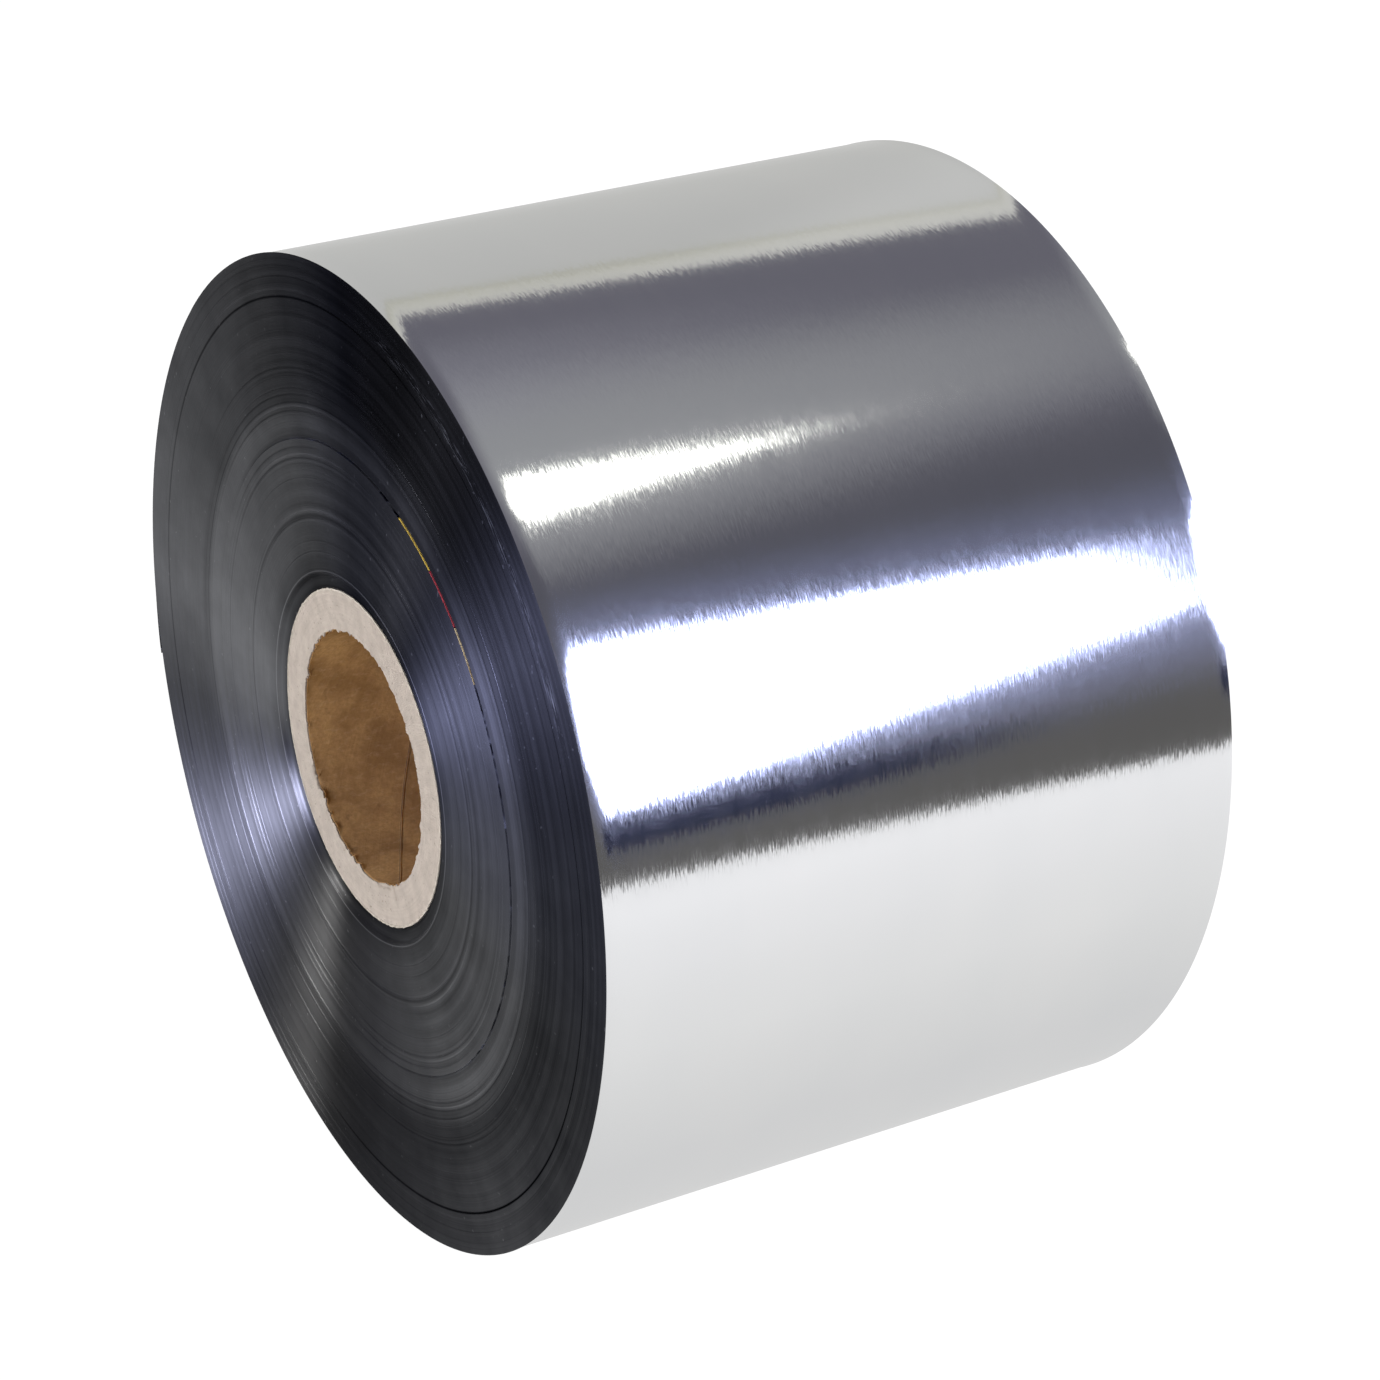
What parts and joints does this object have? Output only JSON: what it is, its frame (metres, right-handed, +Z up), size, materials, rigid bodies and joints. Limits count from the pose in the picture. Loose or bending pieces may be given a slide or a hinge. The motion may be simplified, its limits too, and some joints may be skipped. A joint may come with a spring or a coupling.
{
  "type": "metallised film roll",
  "caption": "Wide roll of silver metallised film wound on a thick spiral board core, lying on its side, with a taped free end that lifts.",
  "frame": {"origin": "under the middle of the roll, on the surface that it lies on", "axes": "+X along the roll's axis, +Z up, and -Y is the side away from the film's free end"},
  "size_m": [0.201, 0.2943, 0.294],
  "materials": {
    "film": "polished",
    "kraft_liner": "matte",
    "grey_board": "matte",
    "pale_liner": "matte",
    "start_tape": "satin",
    "splice_yellow": "satin",
    "splice_red": "satin",
    "splice_cream": "matte",
    "closing_tape": "matte"
  },
  "bodies": {
    "roll": {"core_bore_liner": "kraft_liner", "core_board_ply_01": "grey_board", "core_board_ply_02": "grey_board", "core_board_ply_03": "grey_board", "core_board_ply_04": "grey_board", "core_board_ply_05": "grey_board", "core_board_ply_06": "grey_board", "core_board_ply_07": "grey_board", "core_board_ply_08": "grey_board", "core_board_ply_09": "grey_board", "core_board_ply_10": "grey_board", "core_outer_liner": "pale_liner", "web_start_tape": "start_tape", "web_inner_pack": "film", "web_outer_pack": "film", "splice_tape_yellow": "splice_yellow", "splice_tape_red": "splice_red", "splice_tape_cream": "splice_cream"},
    "tail": {"web_tail_flap": "film", "closing_tape_near": "closing_tape", "closing_tape_far": "closing_tape"}
  },
  "joints": [
    {"name": "tail_lift", "type": "hinge", "parent": "roll", "child": "tail", "pos_m": [0, 0.12025, 0.2312], "axis": [1, 0, 0], "range_deg": [0, 90]}
  ]
}
